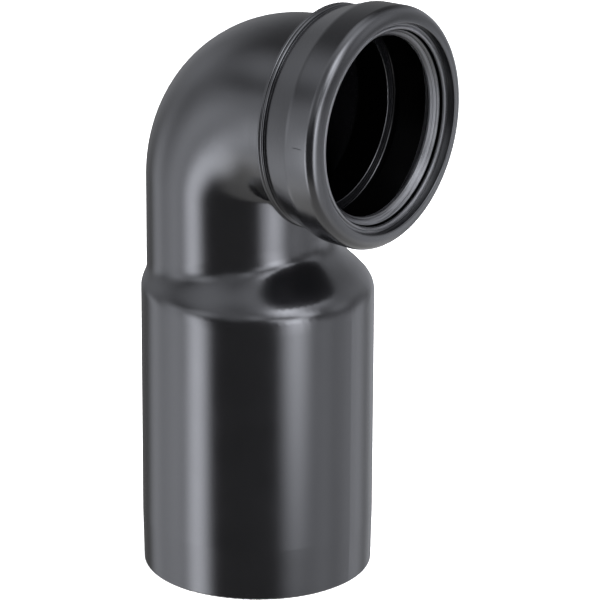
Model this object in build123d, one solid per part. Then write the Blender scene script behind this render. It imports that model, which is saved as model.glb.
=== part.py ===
from build123d import *
import os
from math import acos, asin, atan2, cos, degrees, radians, sin, sqrt, tan

# A 90 degree pan connector: an eccentric bend, the ring-seal socket welded to it, and the socket's lip seal.
# The origin is the centre of the spigot's lower end. +Z runs up the spigot, and +X out of the socket.

# Drain spigot
spigot_od = 110.0
spigot_wall = 4.2
spigot_taper_length = 25.0
spigot_taper = 0.5
spigot_edge = 0.9

# Shoulder between the spigot and the smaller neck: the heights where it starts, and how far it rises from there
shoulder_back_start = 138.9
shoulder_front_start = 134.3
shoulder_back_rise = 6.7
shoulder_front_rise = 32.4
shoulder_core_drop = 1.6
shoulder_steps = 10

# Neck and bend; neck_length runs from the highest point of the shoulder to the start of the bend
neck_od = 90.0
neck_wall = 3.5
neck_back_inset = 0.53
neck_length = 24.04
bend_radius = 38.44
throat_fillet = 3.4
throat_bite = 0.03

# Weld between the bend and the socket; weld_reach is measured from the end of the bend
weld_reach = 12.08
weld_bead_height = 2.0
weld_roll = 0.85
flange_cove = 3.2
pilot_length = 3.35
pilot_gap = 0.1
pilot_edge = 0.45

# Socket, with its lengths measured one after another from the weld
socket_bore = 91.6
guide_length = 6.5
groove_runout = 12.0
groove_length = 13.7
sleeve_wall = 4.7
sleeve_length = 1.9
cone_length = 15.55
band_length = 10.9
band_taper = 0.36
band_wall = 4.8
mouth_od = 113.32
nose_length = 7.2
nose_outward = 4.56
nose_inward = 4.5

# Lip seal
seal_gap = 0.1
heel_length = 12.6
heel_wall = 3.0
bead_r = 1.0
bead_proud = 0.5
bead_inset = 1.0
notch_depth = 0.6
lip_slope = 45.0
lip_reach = 3.6
lip_land = 2.05
lip_thickness = 2.1
lip_edge = 0.35

# Values that follow from the ones above
spigot_r = spigot_od / 2
neck_r = neck_od / 2
neck_x = -(spigot_r - neck_r - neck_back_inset)
bend_x = neck_x + bend_radius
bend_z = shoulder_front_start + shoulder_front_rise + neck_length
socket_height = bend_z + bend_radius
core_r = neck_r - neck_wall
weld_x = bend_x + weld_reach
flange_x = weld_x - 2 * weld_roll
pilot_x = weld_x + pilot_length
bore_r = socket_bore / 2
sleeve_r = bore_r + sleeve_wall
bead_top = sleeve_r + weld_bead_height - weld_roll
mouth_out = mouth_od / 2
band_r = mouth_out - band_taper
groove_r = band_r - band_wall
groove_x = weld_x + guide_length + groove_runout + groove_length
nose_x = weld_x + sleeve_length + cone_length + band_length
nose_r = mouth_out - nose_outward
mouth_r = nose_r - nose_inward
socket_plane = Plane(origin=(0, 0, socket_height), x_dir=(1, 0, 0), z_dir=(0, -1, 0))
socket_axis = Axis((0, 0, socket_height), (1, 0, 0))
far = 2 * socket_height


def spigot():
    """The outside of the spigot: a cylinder that narrows a little towards its rounded lower edge."""
    end_r = spigot_r - spigot_taper
    with BuildPart() as blank:
        with BuildSketch(Plane.XZ):
            with BuildLine():
                Line((0, 0), (end_r - spigot_edge, 0))
                CenterArc((end_r - spigot_edge, spigot_edge), spigot_edge, -90, 90)
                Line((end_r, spigot_edge), (spigot_r, spigot_taper_length))
                Polyline((spigot_r, spigot_taper_length), (spigot_r, bend_z), (0, bend_z), (0, 0))
            make_face()
        revolve(axis=Axis.Z)
    return blank.part


def eased(t):
    """A step from 0 to 1 that starts and ends with no slope and no curvature."""
    t = min(max(t, 0), 1)
    return t**3 * (10 - 15 * t + 6 * t**2)


def shoulder_section(t, lower_r, upper_r, drop):
    """One section of the shoulder and its plane: a circle in plan, on a slope. t runs from 0 at its start to 1."""
    r = lower_r + (upper_r - lower_r) * eased(t)
    back = shoulder_back_start + shoulder_back_rise * t - drop
    front = shoulder_front_start + shoulder_front_rise * t - drop
    slope = atan2(front - back, 2 * r)
    plane = Plane(
        origin=(neck_x * eased(t), 0, (back + front) / 2),
        x_dir=(cos(slope), 0, sin(slope)),
        z_dir=(-sin(slope), 0, cos(slope)),
    )
    return plane, plane * Ellipse(r / cos(slope), r)


def level_bar(r, reach):
    """The straight stretch along the socket's axis, from the end of the turn to reach."""
    start = Plane(origin=(bend_x, 0, socket_height), z_dir=(1, 0, 0))
    return start * Cylinder(r, reach - bend_x, align=(Align.CENTER, Align.CENTER, Align.MIN))


def bars(below, r, reach, drop):
    """Spigot stretch below, shoulder, neck, bend and level stretch of one radius r, as solids that meet face to face."""
    lower_r = below.bounding_box().max.X
    steps = range(-1, shoulder_steps + 2)
    sections = [shoulder_section(i / shoulder_steps, lower_r, r, drop) for i in steps]
    shoulder = loft([face for _, face in sections])
    below = split(below, bisect_by=sections[0][0], keep=Keep.BOTTOM)
    upright = Pos(neck_x, 0, 0) * Cylinder(r, bend_z, align=(Align.CENTER, Align.CENTER, Align.MIN))
    upright = split(upright, bisect_by=sections[-1][0], keep=Keep.TOP)
    beyond = Pos(bend_x + far, 0, 0) * Rectangle(2 * far, 2 * far)
    disc = Pos(0, 0, bend_z) * (Pos(neck_x, 0, 0) * Circle(r) - beyond)
    turn = revolve(disc, axis=Axis((bend_x, 0, bend_z), (0, 1, 0)), revolution_arc=90)
    return below, shoulder, upright, turn, level_bar(r, reach)


def throat_web(upright, turn):
    """The fillet in the throat of the bend, which a ball leaves behind as it rolls in the crease of the two bars."""
    ball = throat_fillet + throat_bite
    track = neck_r + throat_fillet
    half_width = sqrt(track**2 - bend_radius**2)
    mitre = Plane(origin=(neck_x, 0, socket_height), x_dir=(1, 0, -1), z_dir=(1, 0, 1))
    half_angle = degrees(asin(half_width / track))
    path = mitre * EllipticalCenterArc((0, 0), track * sqrt(2), track, -half_angle, arc_size=2 * half_angle)
    rolled = sweep(Plane(origin=path @ 0, z_dir=path % 0) * Circle(ball), path=path)
    rolled += Pos(path @ 0) * Sphere(ball) + Pos(path @ 1) * Sphere(ball)
    crease = Vector(neck_x + neck_r, 0, socket_height - neck_r)
    margin = 1.2 * ball
    low = Vector(bend_x - margin, -half_width, crease.Z - margin)
    high = Vector(crease.X + margin, half_width, bend_z + margin)
    block = Pos((low + high) / 2) * Box(*(high - low))
    left = block - upright - level_bar(neck_r, far) - turn - rolled
    return min(left.solids(), key=lambda solid: solid.distance_to(crease))


def weld_flange():
    """The end of the bend: a cove up to the bend's half of the weld bead, and the pilot whose end stops the pipe."""
    pilot_r = bore_r - pilot_gap
    with BuildPart() as flange:
        with BuildSketch(socket_plane):
            with BuildLine():
                Polyline((bend_x, 0), (bend_x, neck_r), (flange_x - flange_cove, neck_r))
                CenterArc((flange_x - flange_cove, neck_r + flange_cove), flange_cove, -90, 90)
                Line((flange_x, neck_r + flange_cove), (flange_x, bead_top))
                CenterArc((flange_x + weld_roll, bead_top), weld_roll, 180, -180)
                Polyline((weld_x, bead_top), (weld_x, pilot_r), (pilot_x - pilot_edge, pilot_r))
                CenterArc((pilot_x - pilot_edge, pilot_r - pilot_edge), pilot_edge, 90, -90)
                Polyline((pilot_x, pilot_r - pilot_edge), (pilot_x, 0), (bend_x, 0))
            make_face()
        revolve(axis=socket_axis)
    return flange.part


def pan_bend():
    """The bend, one moulding from the spigot's lower end to the pilot inside the weld."""
    below, shoulder, upright, turn, level = bars(spigot(), neck_r, flange_x - flange_cove, 0)
    web = throat_web(upright, turn)
    outside = below + shoulder + upright + turn + level + web + weld_flange()
    drain = Cylinder(spigot_r - spigot_wall, bend_z, align=(Align.CENTER, Align.CENTER, Align.MIN))
    below, shoulder, upright, turn, level = bars(drain, core_r, pilot_x, shoulder_core_drop)
    body = outside - (below + shoulder + upright + turn + level)
    stop = body.edges().filter_by(GeomType.CIRCLE).filter_by_position(Axis.X, pilot_x, pilot_x)
    return fillet(min(stop, key=lambda edge: edge.radius), pilot_edge)


def seal_socket():
    """The socket, turned: sleeve, cone, band and round nose outside; guide bore, run-out and seal groove inside."""
    sleeve_x = weld_x + sleeve_length
    guide_x = weld_x + guide_length
    inner_angle = acos((groove_x - nose_x) / nose_length)
    inner_lip = (groove_x, nose_r - nose_inward * sin(inner_angle))
    with BuildPart() as socket:
        with BuildSketch(socket_plane):
            with BuildLine():
                Line((weld_x, bore_r), (weld_x, bead_top))
                CenterArc((weld_x + weld_roll, bead_top), weld_roll, 180, -180)
                Polyline((weld_x + 2 * weld_roll, bead_top), (sleeve_x, sleeve_r), (sleeve_x + cone_length, band_r))
                Line((sleeve_x + cone_length, band_r), (nose_x, mouth_out))
                EllipticalCenterArc((nose_x, nose_r), nose_length, nose_outward, 90, arc_size=-90)
                EllipticalCenterArc((nose_x, nose_r), nose_length, nose_inward, 0, arc_size=-degrees(inner_angle))
                Polyline(inner_lip, (groove_x, groove_r), (guide_x + groove_runout, groove_r))
                Polyline((guide_x + groove_runout, groove_r), (guide_x, bore_r), (weld_x, bore_r))
            make_face()
        revolve(axis=socket_axis)
    return socket.part


def lip_seal():
    """The rubber ring: a heel in the groove, a round bead at the mouth, and a lip that slopes inwards and back."""
    heel_r = groove_r - seal_gap
    heel_in = heel_r - heel_wall
    heel_x = groove_x - heel_length
    bead_x = groove_x + bead_proud - bead_r
    bead_mid = mouth_r - bead_inset
    bead_from = degrees(acos((bead_r - bead_proud) / bead_r))
    bead_to = 180 - degrees(asin(notch_depth / bead_r))
    slope = radians(lip_slope)
    tip_r = bead_mid - bead_r - lip_reach
    tip_x = bead_x + bead_r * cos(radians(bead_to)) - (bead_mid - notch_depth - tip_r) / tan(slope)
    back_x = tip_x - lip_thickness / sin(slope) + (heel_in - tip_r) / tan(slope)
    with BuildPart() as ring:
        with BuildSketch(socket_plane):
            with BuildLine():
                bead = CenterArc((bead_x, bead_mid), bead_r, bead_from, arc_size=-(bead_from + bead_to))
                Polyline(bead @ 1, (tip_x, tip_r), (tip_x - lip_land, tip_r), (back_x, heel_in))
                Polyline((back_x, heel_in), (heel_x, heel_in), (heel_x, heel_r), (groove_x, heel_r), bead @ 0)
            make_face()
            fillet(vertices().group_by(Axis.Y)[0], lip_edge)
        revolve(axis=socket_axis)
    return ring.part


os.makedirs("parts", exist_ok=True)
nodes = {"pan_bend": pan_bend(), "seal_socket": seal_socket(), "lip_seal": lip_seal()}
for name, solid in nodes.items():
    export_step(solid, f"parts/{name}.step")
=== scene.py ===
import bpy
import numpy as np
from mathutils import Matrix


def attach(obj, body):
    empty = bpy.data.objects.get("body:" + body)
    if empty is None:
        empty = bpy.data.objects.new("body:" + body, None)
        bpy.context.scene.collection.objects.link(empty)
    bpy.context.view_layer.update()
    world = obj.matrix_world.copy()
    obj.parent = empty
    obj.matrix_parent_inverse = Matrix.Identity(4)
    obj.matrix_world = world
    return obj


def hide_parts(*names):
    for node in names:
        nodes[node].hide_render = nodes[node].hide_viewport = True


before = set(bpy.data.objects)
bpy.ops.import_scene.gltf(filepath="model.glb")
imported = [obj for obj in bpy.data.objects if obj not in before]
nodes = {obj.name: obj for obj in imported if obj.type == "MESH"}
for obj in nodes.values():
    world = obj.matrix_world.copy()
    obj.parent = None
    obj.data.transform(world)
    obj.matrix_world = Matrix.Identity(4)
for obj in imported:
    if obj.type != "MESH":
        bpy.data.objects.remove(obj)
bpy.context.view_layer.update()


# The bend is one injection moulding in black polyethylene, from the drain spigot to the weld flange, with
# carbon black right through. The mould was lightly polished steel, so the skin is a soft gloss that mirrors
# a studio lamp as a band with soft edges. Its sizes are in metres.

PE_BLACK = "#070708"
PE_SCUFFED = "#0c0c0d"
SHADE_AND_SCRATCH_BLACK = "#010101"
PE_ROUGHNESS = (0.17, 0.23)
FLOW_MARKS = 0.0222
GRAIN = 0.0007
GRAIN_DEPTH = 0.0002
SKIN_STEP = 0.0002
SOCKET_AXIS = 0.22918
# Where the painted shade inside the pipe and the socket starts, fades and ends, and how much dull black it
# and the scratch take.
SHADE_STARTS = 0.026
SHADE_FADE = 0.002
SHADE_ENDS = 0.0725
SHADE_AND_SCRATCH_SHARE = 0.97
STOP_FACE = 0.0444
STOP_MARGIN = 0.0003
STOP_BEAD = 0.0009
STOP_BEAD_RISE = 0.0007
STOP_BEAD_BACK = 0.0006
BEND_WALL = 0.0433
GUIDE_WALL = 0.0480
GUIDE_ENDS = 0.0475
GROOVE_STARTS = 0.0595
GROOVE_WALL = 0.0540
SCRATCH_HEIGHT = 0.2321
SCRATCH_HALF = 0.00016
SCRATCH_FROM = 0.0622
SCRATCH_TO = 0.0686
SCRATCH_FADE = 0.001


def srgb(code):
    """An sRGB hex colour as linear red, green, blue and alpha 1."""
    parts = np.array([int(code[i:i + 2], 16) for i in (1, 3, 5)]) / 255
    linear = np.where(parts <= 0.04045, parts / 12.92, ((parts + 0.055) / 1.055) ** 2.4)
    return (*linear.tolist(), 1.0)


def add(tree, kind, inputs=None, **settings):
    """Adds one node to a tree. Settings are its properties or its sockets' values by name. Inputs are keyed
    by socket, and each is another node's socket to link or a plain value."""
    node = tree.nodes.new(kind)
    for key, value in settings.items():
        if hasattr(node, key):
            setattr(node, key, value)
        else:
            node.inputs[key.replace("_", " ")].default_value = value
    for key, source in (inputs or {}).items():
        if isinstance(source, bpy.types.NodeSocket):
            tree.links.new(source, node.inputs[key])
        else:
            node.inputs[key].default_value = source
    return node


def empty_material(name):
    """A material with an empty node tree, and that tree."""
    material = bpy.data.materials.new(name)
    material.use_nodes = True
    material.node_tree.nodes.clear()
    return material, material.node_tree


def dress(node, material):
    """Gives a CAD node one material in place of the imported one."""
    node.data.materials.clear()
    node.data.materials.append(material)


def between(tree, value, begins, full, fades, ends, level=1.0):
    """A band with soft edges: 0 up to begins, the level from full to fades, 0 from ends on, and a smooth
    curve on each side of the level."""
    soft = {"interpolation_type": "SMOOTHSTEP"}
    inputs = {0: value, 1: begins, 2: full, 3: 0.0, 4: level}
    risen = add(tree, "ShaderNodeMapRange", inputs, **soft).outputs["Result"]
    inputs = {0: value, 1: fades, 2: ends, 3: risen, 4: 0.0}
    return add(tree, "ShaderNodeMapRange", inputs, **soft).outputs["Result"]


def from_axis(tree, place):
    """The distance of a point from the socket's axis, the root of y squared plus z squared."""
    inputs = {0: place, 1: (0.0, 0.0, SOCKET_AXIS)}
    moved = add(tree, "ShaderNodeVectorMath", inputs, operation="SUBTRACT").outputs["Vector"]
    inputs = {0: moved, 1: (0.0, 1.0, 1.0)}
    flat = add(tree, "ShaderNodeVectorMath", inputs, operation="MULTIPLY").outputs["Vector"]
    return add(tree, "ShaderNodeVectorMath", {0: flat}, operation="LENGTH").outputs["Value"]


def under_wall(tree, place, along):
    """1 on the skin inside the pipe and the socket, and 0 outside. The limit is a distance from the axis
    that steps out at the stop and then widens from the guide to the groove."""
    soft = {"interpolation_type": "SMOOTHSTEP"}
    inputs = {0: along, 1: STOP_FACE, 2: STOP_FACE + SKIN_STEP, 3: BEND_WALL, 4: GUIDE_WALL}
    wall = add(tree, "ShaderNodeMapRange", inputs, **soft).outputs["Result"]
    inputs = {0: along, 1: GUIDE_ENDS, 2: GROOVE_STARTS, 3: 0.0, 4: GROOVE_WALL - GUIDE_WALL}
    widening = add(tree, "ShaderNodeMapRange", inputs, **soft).outputs["Result"]
    limit = add(tree, "ShaderNodeMath", {0: wall, 1: widening}, operation="ADD").outputs["Value"]
    inputs = {0: limit, 1: from_axis(tree, place)}
    depth = add(tree, "ShaderNodeMath", inputs, operation="SUBTRACT").outputs["Value"]
    inputs = {0: depth, 1: 0.0, 2: 2 * SKIN_STEP, 3: 0.0, 4: 1.0}
    return add(tree, "ShaderNodeMapRange", inputs, **soft).outputs["Result"]


def painted_bore_shade(tree, along, inside):
    """The painted shade inside the pipe and the socket: 1 on the inside skin, short of the stop and past the
    bead beside it, and 0 on the stop and outside.
    """
    limit = STOP_FACE - STOP_MARGIN
    bore = between(tree, along, SHADE_STARTS, SHADE_STARTS + SHADE_FADE, limit - SKIN_STEP, limit, inside)
    past = STOP_FACE + STOP_BEAD
    guide = between(tree, along, past, past + SKIN_STEP, SHADE_ENDS, SHADE_ENDS + 2 * SKIN_STEP, inside)
    return add(tree, "ShaderNodeMath", {0: bore, 1: guide}, operation="ADD").outputs["Value"]


def scratch(tree, parts):
    """1 along one hairline scratch on the socket's near side, which runs level, and 0 elsewhere."""
    inputs = {0: parts.outputs["Y"], 1: -SCRATCH_FADE, 2: 0.0, 3: 1.0, 4: 0.0}
    near = add(tree, "ShaderNodeMapRange", inputs, interpolation_type="SMOOTHSTEP").outputs["Result"]
    low, high = SCRATCH_HEIGHT - SCRATCH_HALF, SCRATCH_HEIGHT + SCRATCH_HALF
    edge = SCRATCH_HALF / 2
    line = between(tree, parts.outputs["Z"], low, low + edge, high - edge, high, near)
    begun, over = SCRATCH_FROM + SCRATCH_FADE, SCRATCH_TO - 2 * SCRATCH_FADE
    return between(tree, parts.outputs["X"], SCRATCH_FROM, begun, over, SCRATCH_TO, line)


def moulded_polyethylene():
    """Black polyethylene, injection moulded: nearly black, with a soft gloss that varies a little along the
    skin. Painted shade darkens the inside skin of the pipe and the socket to a dull black, and the same dull
    black draws one hairline scratch. A bump rolls the small weld bead round the stop. The mould's own grain
    is finer than a pixel, so it is drawn at 0.7 mm."""
    material, tree = empty_material("moulded_black_polyethylene")
    place = add(tree, "ShaderNodeTexCoord").outputs["Object"]
    parts = add(tree, "ShaderNodeSeparateXYZ", {"Vector": place})
    along = parts.outputs["X"]
    inside = under_wall(tree, place, along)
    scale = 1 / FLOW_MARKS
    flow = add(tree, "ShaderNodeTexNoise", {"Vector": place}, Scale=scale, Detail=3.0, Roughness=0.55)
    flow = flow.outputs["Fac"]
    rough = add(tree, "ShaderNodeMapRange", {0: flow, 3: PE_ROUGHNESS[0], 4: PE_ROUGHNESS[1]})
    colours = {"Factor": flow, 6: srgb(PE_BLACK), 7: srgb(PE_SCUFFED)}
    tone = add(tree, "ShaderNodeMix", colours, data_type="RGBA")
    grain = add(tree, "ShaderNodeTexNoise", {"Vector": place}, Scale=1 / GRAIN, Detail=2.0)
    grain = grain.outputs["Fac"]
    bump = add(tree, "ShaderNodeBump", {"Height": grain}, Strength=0.05, Distance=GRAIN_DEPTH)
    back = STOP_FACE - STOP_BEAD_BACK
    bead = between(tree, along, back - SKIN_STEP, back, STOP_FACE, STOP_FACE + STOP_BEAD, inside)
    inputs = {"Height": bead, "Normal": bump.outputs["Normal"]}
    beaded = add(tree, "ShaderNodeBump", inputs, Distance=STOP_BEAD_RISE)
    inputs = {
        "Base Color": tone.outputs[2],
        "Roughness": rough.outputs["Result"],
        "Normal": beaded.outputs["Normal"],
    }
    skin = add(tree, "ShaderNodeBsdfPrincipled", inputs, IOR=1.51)
    dull = add(tree, "ShaderNodeBsdfDiffuse", Color=srgb(SHADE_AND_SCRATCH_BLACK))
    # Painted shade on the inside skin and the hairline scratch both take the dull black.
    inputs = {0: painted_bore_shade(tree, along, inside), 1: scratch(tree, parts)}
    shade_and_scratch = add(tree, "ShaderNodeMath", inputs, operation="MAXIMUM").outputs["Value"]
    share = add(tree, "ShaderNodeMath", {0: shade_and_scratch, 1: SHADE_AND_SCRATCH_SHARE}, operation="MULTIPLY").outputs["Value"]
    inputs = {0: share, 1: skin.outputs["BSDF"], 2: dull.outputs["BSDF"]}
    both = add(tree, "ShaderNodeMixShader", inputs)
    add(tree, "ShaderNodeOutputMaterial", {"Surface": both.outputs["Shader"]})
    return material


polyethylene = moulded_polyethylene()
dress(nodes["pan_bend"], polyethylene)


# The socket is a second moulding in the same black polyethylene, butt-welded to the bend's flange. The
# double bead is what the weld pressed out. The mouth has a flatter face and a rounder outer corner than the
# plain solid, and stands a little askew. Its sizes are in mm.

WELD_FACE = 41.05
WELD_TOP = 51.65
WELD_ROLL = 0.85
FACE_STEP = 0.1
BORE = 45.8
VALLEY = (42.95, 51.0)
VALLEY_CUT = 0.15
CONE_END = (58.5, 56.3)
CONE_CUT = 1.4
BAND_END = 69.4
MOUTH_OUT = 56.66
CORNER_ROUND = 4.76
CORNER_TURN = 60
FACE_ROUND = 9.56
EDGE_ROUND = 0.5
EDGE_TURN = 168
EDGE_CUT = 0.1
LIP = (73.25, 48.3)
LIP_CUT = 0.3
GROOVE = 51.5
RUNOUT = (59.55, 47.55)
RUNOUT_CUT = 0.6
ASKEW = 1.09
STEPS_ROUND = 360
ROLL_POINTS = 17
CORNER_POINTS = 25
FACE_POINTS = 17
EDGE_POINTS = 9
CUT_POINTS = 9
MM_PER_METRE = 1000


def bow(centre, size, start, end, count):
    """An arc round a centre: the centre plus size times (sine, cosine) of the angle away from the axis."""
    turn = np.radians(np.linspace(start, end, count))
    return np.column_stack([centre[0] + size * np.sin(turn), centre[1] + size * np.cos(turn)])


def rolled(before, corner, after, cut):
    """A corner rolled off: the parabola that leaves one run and meets the next, each a cut's length away."""
    before, corner, after = [np.array(point, float) for point in (before, corner, after)]
    leave = corner + (before - corner) * cut / np.linalg.norm(before - corner)
    meet = corner + (after - corner) * cut / np.linalg.norm(after - corner)
    u = np.linspace(0, 1, CUT_POINTS)[:, None]
    return (1 - u) ** 2 * leave + 2 * u * (1 - u) * corner + u**2 * meet


def socket_profile():
    """The cut through the wall, as places along the axis and distances from it, and a 1 for each point that
    belongs to the nose, or else a 0."""
    band = (BAND_END, MOUTH_OUT)
    middle = (BAND_END, MOUTH_OUT - CORNER_ROUND)
    lean = np.radians(CORNER_TURN)
    face = np.array(middle) + (CORNER_ROUND - FACE_ROUND) * np.array([np.sin(lean), np.cos(lean)])
    edge = (face[0] + FACE_ROUND - EDGE_ROUND, face[1])
    roll_end = (WELD_FACE + 2 * WELD_ROLL, WELD_TOP)
    inner = [(LIP[0], GROOVE), (RUNOUT[0], GROOVE), (RUNOUT[1], BORE), (WELD_FACE, BORE)]
    outside = [
        np.array([(WELD_FACE, BORE), (WELD_FACE, WELD_TOP - FACE_STEP)]),
        bow((WELD_FACE + WELD_ROLL, WELD_TOP), WELD_ROLL, -90, 90, ROLL_POINTS),
        rolled(roll_end, VALLEY, CONE_END, VALLEY_CUT),
        rolled(VALLEY, CONE_END, band, CONE_CUT),
    ]
    nose = [
        bow(middle, CORNER_ROUND, 0, CORNER_TURN, CORNER_POINTS),
        bow(face, FACE_ROUND, CORNER_TURN, 90, FACE_POINTS)[1:],
        bow(edge, EDGE_ROUND, 90, EDGE_TURN, EDGE_POINTS)[1:],
    ]
    inside = [
        rolled(nose[-1][-1], LIP, inner[0], EDGE_CUT),
        rolled(LIP, inner[0], inner[1], LIP_CUT),
        rolled(inner[0], inner[1], inner[2], RUNOUT_CUT),
        rolled(inner[1], inner[2], inner[3], RUNOUT_CUT),
    ]
    shares = [(outside, 0.0), (nose, 1.0), (inside, 0.0)]
    profile = np.concatenate(outside + nose + inside)
    on_nose = np.concatenate([np.full(len(run), share) for runs, share in shares for run in runs])
    return profile, on_nose


def socket_moulding():
    """The profile turned round the socket's axis. The nose moves along it by the askew amount times one plus
    the cosine of the angle from the far side, so the mouth's plane leans by about a degree."""
    profile, on_nose = socket_profile()
    turn = np.linspace(0, 2 * np.pi, STEPS_ROUND, endpoint=False)
    along = profile[:, :1] + on_nose[:, None] * ASKEW * (1 + np.cos(turn))
    away = profile[:, 1:]
    points = np.stack([along, away * np.cos(turn), away * np.sin(turn)], axis=-1) / MM_PER_METRE
    points[..., 2] += SOCKET_AXIS
    count = len(profile)
    ring, step = np.meshgrid(np.arange(count), np.arange(STEPS_ROUND), indexing="ij")
    after, onward = (ring + 1) % count, (step + 1) % STEPS_ROUND
    corners = [(ring, step), (ring, onward), (after, onward), (after, step)]
    faces = np.stack([i * STEPS_ROUND + j for i, j in corners], axis=-1).reshape(-1, 4)
    mesh = bpy.data.meshes.new("socket_moulding")
    mesh.from_pydata(points.reshape(-1, 3).tolist(), [], faces.tolist())
    mesh.polygons.foreach_set("use_smooth", np.ones(len(mesh.polygons), bool))
    piece = bpy.data.objects.new("socket_moulding", mesh)
    bpy.context.scene.collection.objects.link(piece)
    return piece


socket = socket_moulding()
socket.data.materials.append(polyethylene)
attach(socket, "root")
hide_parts("seal_socket")


# The lip seal is a ring of black rubber, compression moulded and pushed into the socket's groove. It is a
# little more matt than the plastic. Its mould was turned on a lathe, so fine lines run round the ring.
# Painted shade darkens the gap between its lip and its front bead. Its sizes are in metres.

RUBBER_BLACK = "#121213"
RUBBER_BLOOM_AND_SHEEN = "#3d3d3e"
RUBBER_ROUGHNESS = (0.1, 0.5)
BLOOM_AND_SHEEN_STARTS = 0.42
BLOOM_AND_SHEEN_FULL = 0.62
TURNED_LINE = 0.0011
TURNED_DEPTH = 0.0004
TURNED_DRIFT = 0.03
NOTCH_INNER = 0.0449
NOTCH_OUTER = 0.0461
NOTCH_FROM = 0.0709
NOTCH_TO = 0.0724


def painted_notch_shade(tree, along, away):
    """The painted shade: 1 in the gap between the seal's lip and its front bead, by distance from the axis
    and place on it.
    """
    inner, outer = NOTCH_INNER + SKIN_STEP, NOTCH_OUTER - SKIN_STEP
    ring = between(tree, away, NOTCH_INNER, inner, outer, NOTCH_OUTER)
    begun, over = NOTCH_FROM + SKIN_STEP, NOTCH_TO - SKIN_STEP
    return between(tree, along, NOTCH_FROM, begun, over, NOTCH_TO, ring)


def moulded_rubber():
    """Black sealing rubber, compression moulded. The turned lines are a noise over the distance from the
    axis and the place along it, which drifts little round the ring. They are drawn at 1.1 mm, as fine as the
    render can show, though the real ones are finer. Along the lines the colour turns a lighter grey, which
    is partly the rubber's own tone and partly a painted sheen that lightens the seal."""
    material, tree = empty_material("moulded_black_rubber")
    place = add(tree, "ShaderNodeTexCoord").outputs["Object"]
    parts = add(tree, "ShaderNodeSeparateXYZ", {"Vector": place})
    along = parts.outputs["X"]
    away = from_axis(tree, place)
    inputs = {0: parts.outputs["Y"], 1: TURNED_DRIFT}
    drift = add(tree, "ShaderNodeMath", inputs, operation="MULTIPLY").outputs["Value"]
    turned = add(tree, "ShaderNodeCombineXYZ", {"X": away, "Y": along, "Z": drift}).outputs["Vector"]
    scale = 1 / TURNED_LINE
    lines = add(tree, "ShaderNodeTexNoise", {"Vector": turned}, Scale=scale, Detail=3.0, Roughness=0.6)
    lines = lines.outputs["Fac"]
    rough = add(tree, "ShaderNodeMapRange", {0: lines, 3: RUBBER_ROUGHNESS[0], 4: RUBBER_ROUGHNESS[1]})
    # A lighter grey along the turned lines: partly the rubber's own tone, partly a painted sheen.
    inputs = {0: lines, 1: BLOOM_AND_SHEEN_STARTS, 2: BLOOM_AND_SHEEN_FULL, 3: 0.0, 4: 1.0}
    bloom_and_sheen = add(tree, "ShaderNodeMapRange", inputs, interpolation_type="SMOOTHSTEP")
    colours = {"Factor": bloom_and_sheen.outputs["Result"], 6: srgb(RUBBER_BLACK), 7: srgb(RUBBER_BLOOM_AND_SHEEN)}
    tone = add(tree, "ShaderNodeMix", colours, data_type="RGBA")
    bump = add(tree, "ShaderNodeBump", {"Height": lines}, Strength=0.8, Distance=TURNED_DEPTH)
    inputs = {
        "Base Color": tone.outputs[2],
        "Roughness": rough.outputs["Result"],
        "Normal": bump.outputs["Normal"],
    }
    skin = add(tree, "ShaderNodeBsdfPrincipled", inputs, IOR=1.52)
    dull = add(tree, "ShaderNodeBsdfDiffuse", Color=srgb(SHADE_AND_SCRATCH_BLACK))
    # Painted shade: the dull black darkens the gap between the lip and the front bead.
    inputs = {0: painted_notch_shade(tree, along, away), 1: skin.outputs["BSDF"], 2: dull.outputs["BSDF"]}
    both = add(tree, "ShaderNodeMixShader", inputs)
    add(tree, "ShaderNodeOutputMaterial", {"Surface": both.outputs["Shader"]})
    return material


dress(nodes["lip_seal"], moulded_rubber())


# The studio: a white floor that keeps a faint shadow, and a white surround. The black skin mirrors only the
# lamps, a dim room and a paler table far below, so glossy rays pass the floor by and meet the surround.

FLOOR_REACH = 3.0
FLOOR_WHITE = "#f6f3f0"
FLOOR_GLOW = 0.75
ROOM_LIGHT = 0.17
TABLE_LIGHT = 1.05
FILL_LIGHT = 0.16
TABLE_EDGE = (-0.68, -0.52)
WHITE = (1.0, 1.0, 1.0, 1.0)


def studio_floor():
    """A square grid of four corners, at the height of the object's lowest point. The board is painted matt
    white, so it takes a faint shadow and has no gloss, and it glows to the camera alone."""
    corners = np.array([[-1, -1, 0], [1, -1, 0], [1, 1, 0], [-1, 1, 0]]) * FLOOR_REACH
    mesh = bpy.data.meshes.new("studio_floor")
    mesh.from_pydata(corners.tolist(), [], [(0, 1, 2, 3)])
    floor = bpy.data.objects.new("studio_floor", mesh)
    bpy.context.scene.collection.objects.link(floor)
    material, tree = empty_material("matt_painted_board")
    paint = add(tree, "ShaderNodeBsdfDiffuse", Color=srgb(FLOOR_WHITE))
    glow = add(tree, "ShaderNodeEmission", Strength=FLOOR_GLOW)
    seen = add(tree, "ShaderNodeLightPath").outputs["Is Camera Ray"]
    both = add(tree, "ShaderNodeAddShader", {0: paint.outputs["BSDF"], 1: glow.outputs["Emission"]})
    pick = add(tree, "ShaderNodeMixShader", {0: seen, 1: paint.outputs["BSDF"], 2: both.outputs["Shader"]})
    add(tree, "ShaderNodeOutputMaterial", {"Surface": pick.outputs["Shader"]})
    mesh.materials.append(material)
    floor.visible_glossy = False


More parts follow.
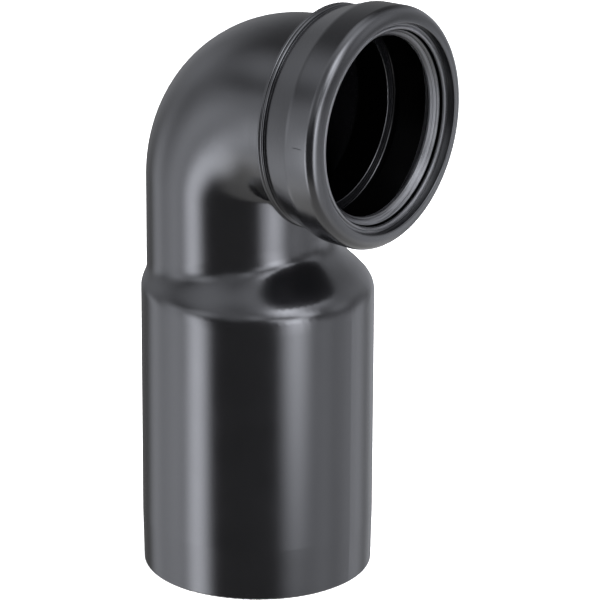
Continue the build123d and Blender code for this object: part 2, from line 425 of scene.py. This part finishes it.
def surround():
    """The world: white to the camera, a dim room in reflections, and a soft even fill on rough surfaces."""
    world = bpy.data.worlds.new("surround")
    bpy.context.scene.world = world
    world.use_nodes = True
    tree = world.node_tree
    tree.nodes.clear()
    path = add(tree, "ShaderNodeLightPath")
    white = add(tree, "ShaderNodeBackground", Color=WHITE, Strength=1.0).outputs["Background"]
    toward = add(tree, "ShaderNodeTexCoord").outputs["Generated"]
    height = add(tree, "ShaderNodeSeparateXYZ", {"Vector": toward}).outputs["Z"]
    inputs = {0: height, 1: TABLE_EDGE[0], 2: TABLE_EDGE[1], 3: TABLE_LIGHT, 4: ROOM_LIGHT}
    depth = add(tree, "ShaderNodeMapRange", inputs, interpolation_type="SMOOTHSTEP").outputs["Result"]
    room = add(tree, "ShaderNodeBackground", {"Strength": depth}, Color=WHITE).outputs["Background"]
    fill = add(tree, "ShaderNodeBackground", Color=WHITE, Strength=FILL_LIGHT).outputs["Background"]
    inputs = {0: path.outputs["Is Glossy Ray"], 1: fill, 2: room}
    mirrored = add(tree, "ShaderNodeMixShader", inputs).outputs["Shader"]
    inputs = {0: path.outputs["Is Camera Ray"], 1: mirrored, 2: white}
    shown = add(tree, "ShaderNodeMixShader", inputs).outputs["Shader"]
    add(tree, "ShaderNodeOutputWorld", {"Surface": shown})


studio_floor()
surround()


# Soft boxes, all that a black gloss skin shows. Each has the compass and height angles of its middle, how
# wide and tall it looks, and its middle's radiance. The radiances began as a least-squares fit of the boxes'
# light to the photograph's tones. They were rounded, and some were then changed.

AIM = np.array([0.0, 0.0, 0.15])
LAMP_WHITE = "#f2f5ff"
SOFT_EDGE = 0.98
LAMP_AWAY = 1.6


def facing(compass, rise):
    """The directions out from the aim, to the side and up, for a panel that faces it, as three arrays."""
    turn, lift = np.radians([compass, rise])
    out = np.array([np.cos(turn) * np.cos(lift), np.sin(turn) * np.cos(lift), np.sin(lift)])
    side = np.array([-np.sin(turn), np.cos(turn), 0.0])
    return out, side, np.cross(out, side)


def across(away, angle):
    """The width of a panel that looks this wide, in degrees, from this far away."""
    return 2 * away * np.tan(np.radians(angle / 2))


def fading(tree):
    """1 in the middle of a panel and 0 at its four edges: one smooth curve across it times one along it."""
    spot = add(tree, "ShaderNodeNewGeometry").outputs["Parametric"]
    inputs = {0: spot, 1: (0.5, 0.5, 0.0)}
    centred = add(tree, "ShaderNodeVectorMath", inputs, operation="SUBTRACT").outputs["Vector"]
    reach = add(tree, "ShaderNodeVectorMath", {0: centred}, operation="ABSOLUTE").outputs["Vector"]
    parts = add(tree, "ShaderNodeSeparateXYZ", {"Vector": reach})
    fade = 1.0
    for axis in ("X", "Y"):
        inputs = {0: parts.outputs[axis], 1: 0.5 - SOFT_EDGE / 2, 2: 0.5, 3: fade, 4: 0.0}
        fade = add(tree, "ShaderNodeMapRange", inputs, interpolation_type="SMOOTHSTEP").outputs["Result"]
    return fade


def soft_box(name, compass, rise, wide, tall, face, away=LAMP_AWAY):
    """A rectangular lamp that fades towards its four edges. face is the radiance of its middle."""
    out, side, upward = facing(compass, rise)
    lamp = bpy.data.lights.new(name, "AREA")
    lamp.shape = "RECTANGLE"
    lamp.color = srgb(LAMP_WHITE)[:3]
    lamp.size = across(away, wide)
    lamp.size_y = across(away, tall)
    lamp.energy = face * np.pi * lamp.size * lamp.size_y
    lamp.use_nodes = True
    tree = lamp.node_tree
    tree.links.new(fading(tree), tree.nodes["Emission"].inputs["Strength"])
    box = bpy.data.objects.new(name, lamp)
    bpy.context.scene.collection.objects.link(box)
    turned = Matrix(np.column_stack([side, upward, out]).tolist()).to_4x4()
    box.matrix_world = Matrix.Translation(AIM + out * away) @ turned
    box.visible_camera = False


soft_box("strip_box", -113, -20, 34, 72, 9.0)
soft_box("strip_side", -138, -20, 50, 72, 2.9)
soft_box("strip_back", -168, -20, 46, 72, 1.6)
soft_box("front_box", -16, -8, 42, 58, 9.2, 0.7)
soft_box("front_low", -12, -28, 40, 44, 1.4, 0.9)
soft_box("front_side", 12, -20, 36, 66, 2.0)
soft_box("front_wide", 34, -20, 44, 66, 1.5)
soft_box("right_box", 60, -20, 44, 66, 1.8)
soft_box("right_rim", 96, -10, 60, 80, 0.7)
soft_box("left_mid", -136, 10, 60, 50, 2.1)
soft_box("left_rise", -108, 22, 44, 44, 3.2)
soft_box("back_rise", -172, 24, 60, 50, 0.7)
soft_box("left_high", -125, 50, 80, 50, 2.0)
soft_box("nose_box", -76, 28, 44, 60, 1.2)
soft_box("nose_mid", -52, 28, 30, 36, 2.8)
soft_box("nose_high", -50, 54, 50, 50, 1.3)
soft_box("key_low", -17, 6, 36, 36, 8.0)
soft_box("key_mid", -2, 24, 34, 34, 9.0)
soft_box("key_high", -18, 44, 44, 48, 12.5)
soft_box("front_upper", -33, 14, 26, 30, 4.8)
soft_box("right_rise", 32, 16, 50, 40, 1.6)
soft_box("rim_rise", 78, 18, 60, 50, 0.7)
soft_box("top_front", 16, 50, 60, 56, 3.9)
soft_box("right_upper", 52, 32, 64, 72, 1.0)
soft_box("top_left", -80, 78, 70, 50, 2.2)
soft_box("top_right", 80, 78, 70, 50, 2.9)
soft_box("back_box", 165, 20, 100, 90, 0.5)


# The camera: a long lens from the front right, a little above the object, with a slight roll. It looks
# towards a point inside the neck, from a place slid a little to the right and down. A program fitted these
# values to the rings and edges that were measured in the photograph.

LOOK_AT = np.array([0.0, 0.0, 0.14])
AZIMUTH, ELEVATION, ROLL = np.radians([36.972, 19.763, 0.284])
AWAY = 1.90139
SLIDE = (0.019863, -0.008922)
PIXELS_PER_METRE = 2123.0
SENSOR = 36.0
FRAME_PIXELS = 600

backward = np.array(
    [np.sin(AZIMUTH) * np.cos(ELEVATION), -np.cos(AZIMUTH) * np.cos(ELEVATION), np.sin(ELEVATION)]
)
level = np.array([np.cos(AZIMUTH), np.sin(AZIMUTH), 0.0])
plumb = np.cross(backward, level)
sideways = level * np.cos(ROLL) + plumb * np.sin(ROLL)
upwards = -level * np.sin(ROLL) + plumb * np.cos(ROLL)
spot = LOOK_AT + sideways * SLIDE[0] + upwards * SLIDE[1] + backward * AWAY
lens = bpy.data.cameras.new("camera")
lens.sensor_width = SENSOR
lens.lens = PIXELS_PER_METRE * AWAY * SENSOR / FRAME_PIXELS
lens.clip_start = 0.1
lens.clip_end = 20.0
camera = bpy.data.objects.new("camera", lens)
bpy.context.scene.collection.objects.link(camera)
turned = np.column_stack([sideways, upwards, backward])
camera.matrix_world = Matrix.Translation(spot) @ Matrix(turned.tolist()).to_4x4()
bpy.context.scene.camera = camera
bpy.context.scene.view_settings.view_transform = "Standard"
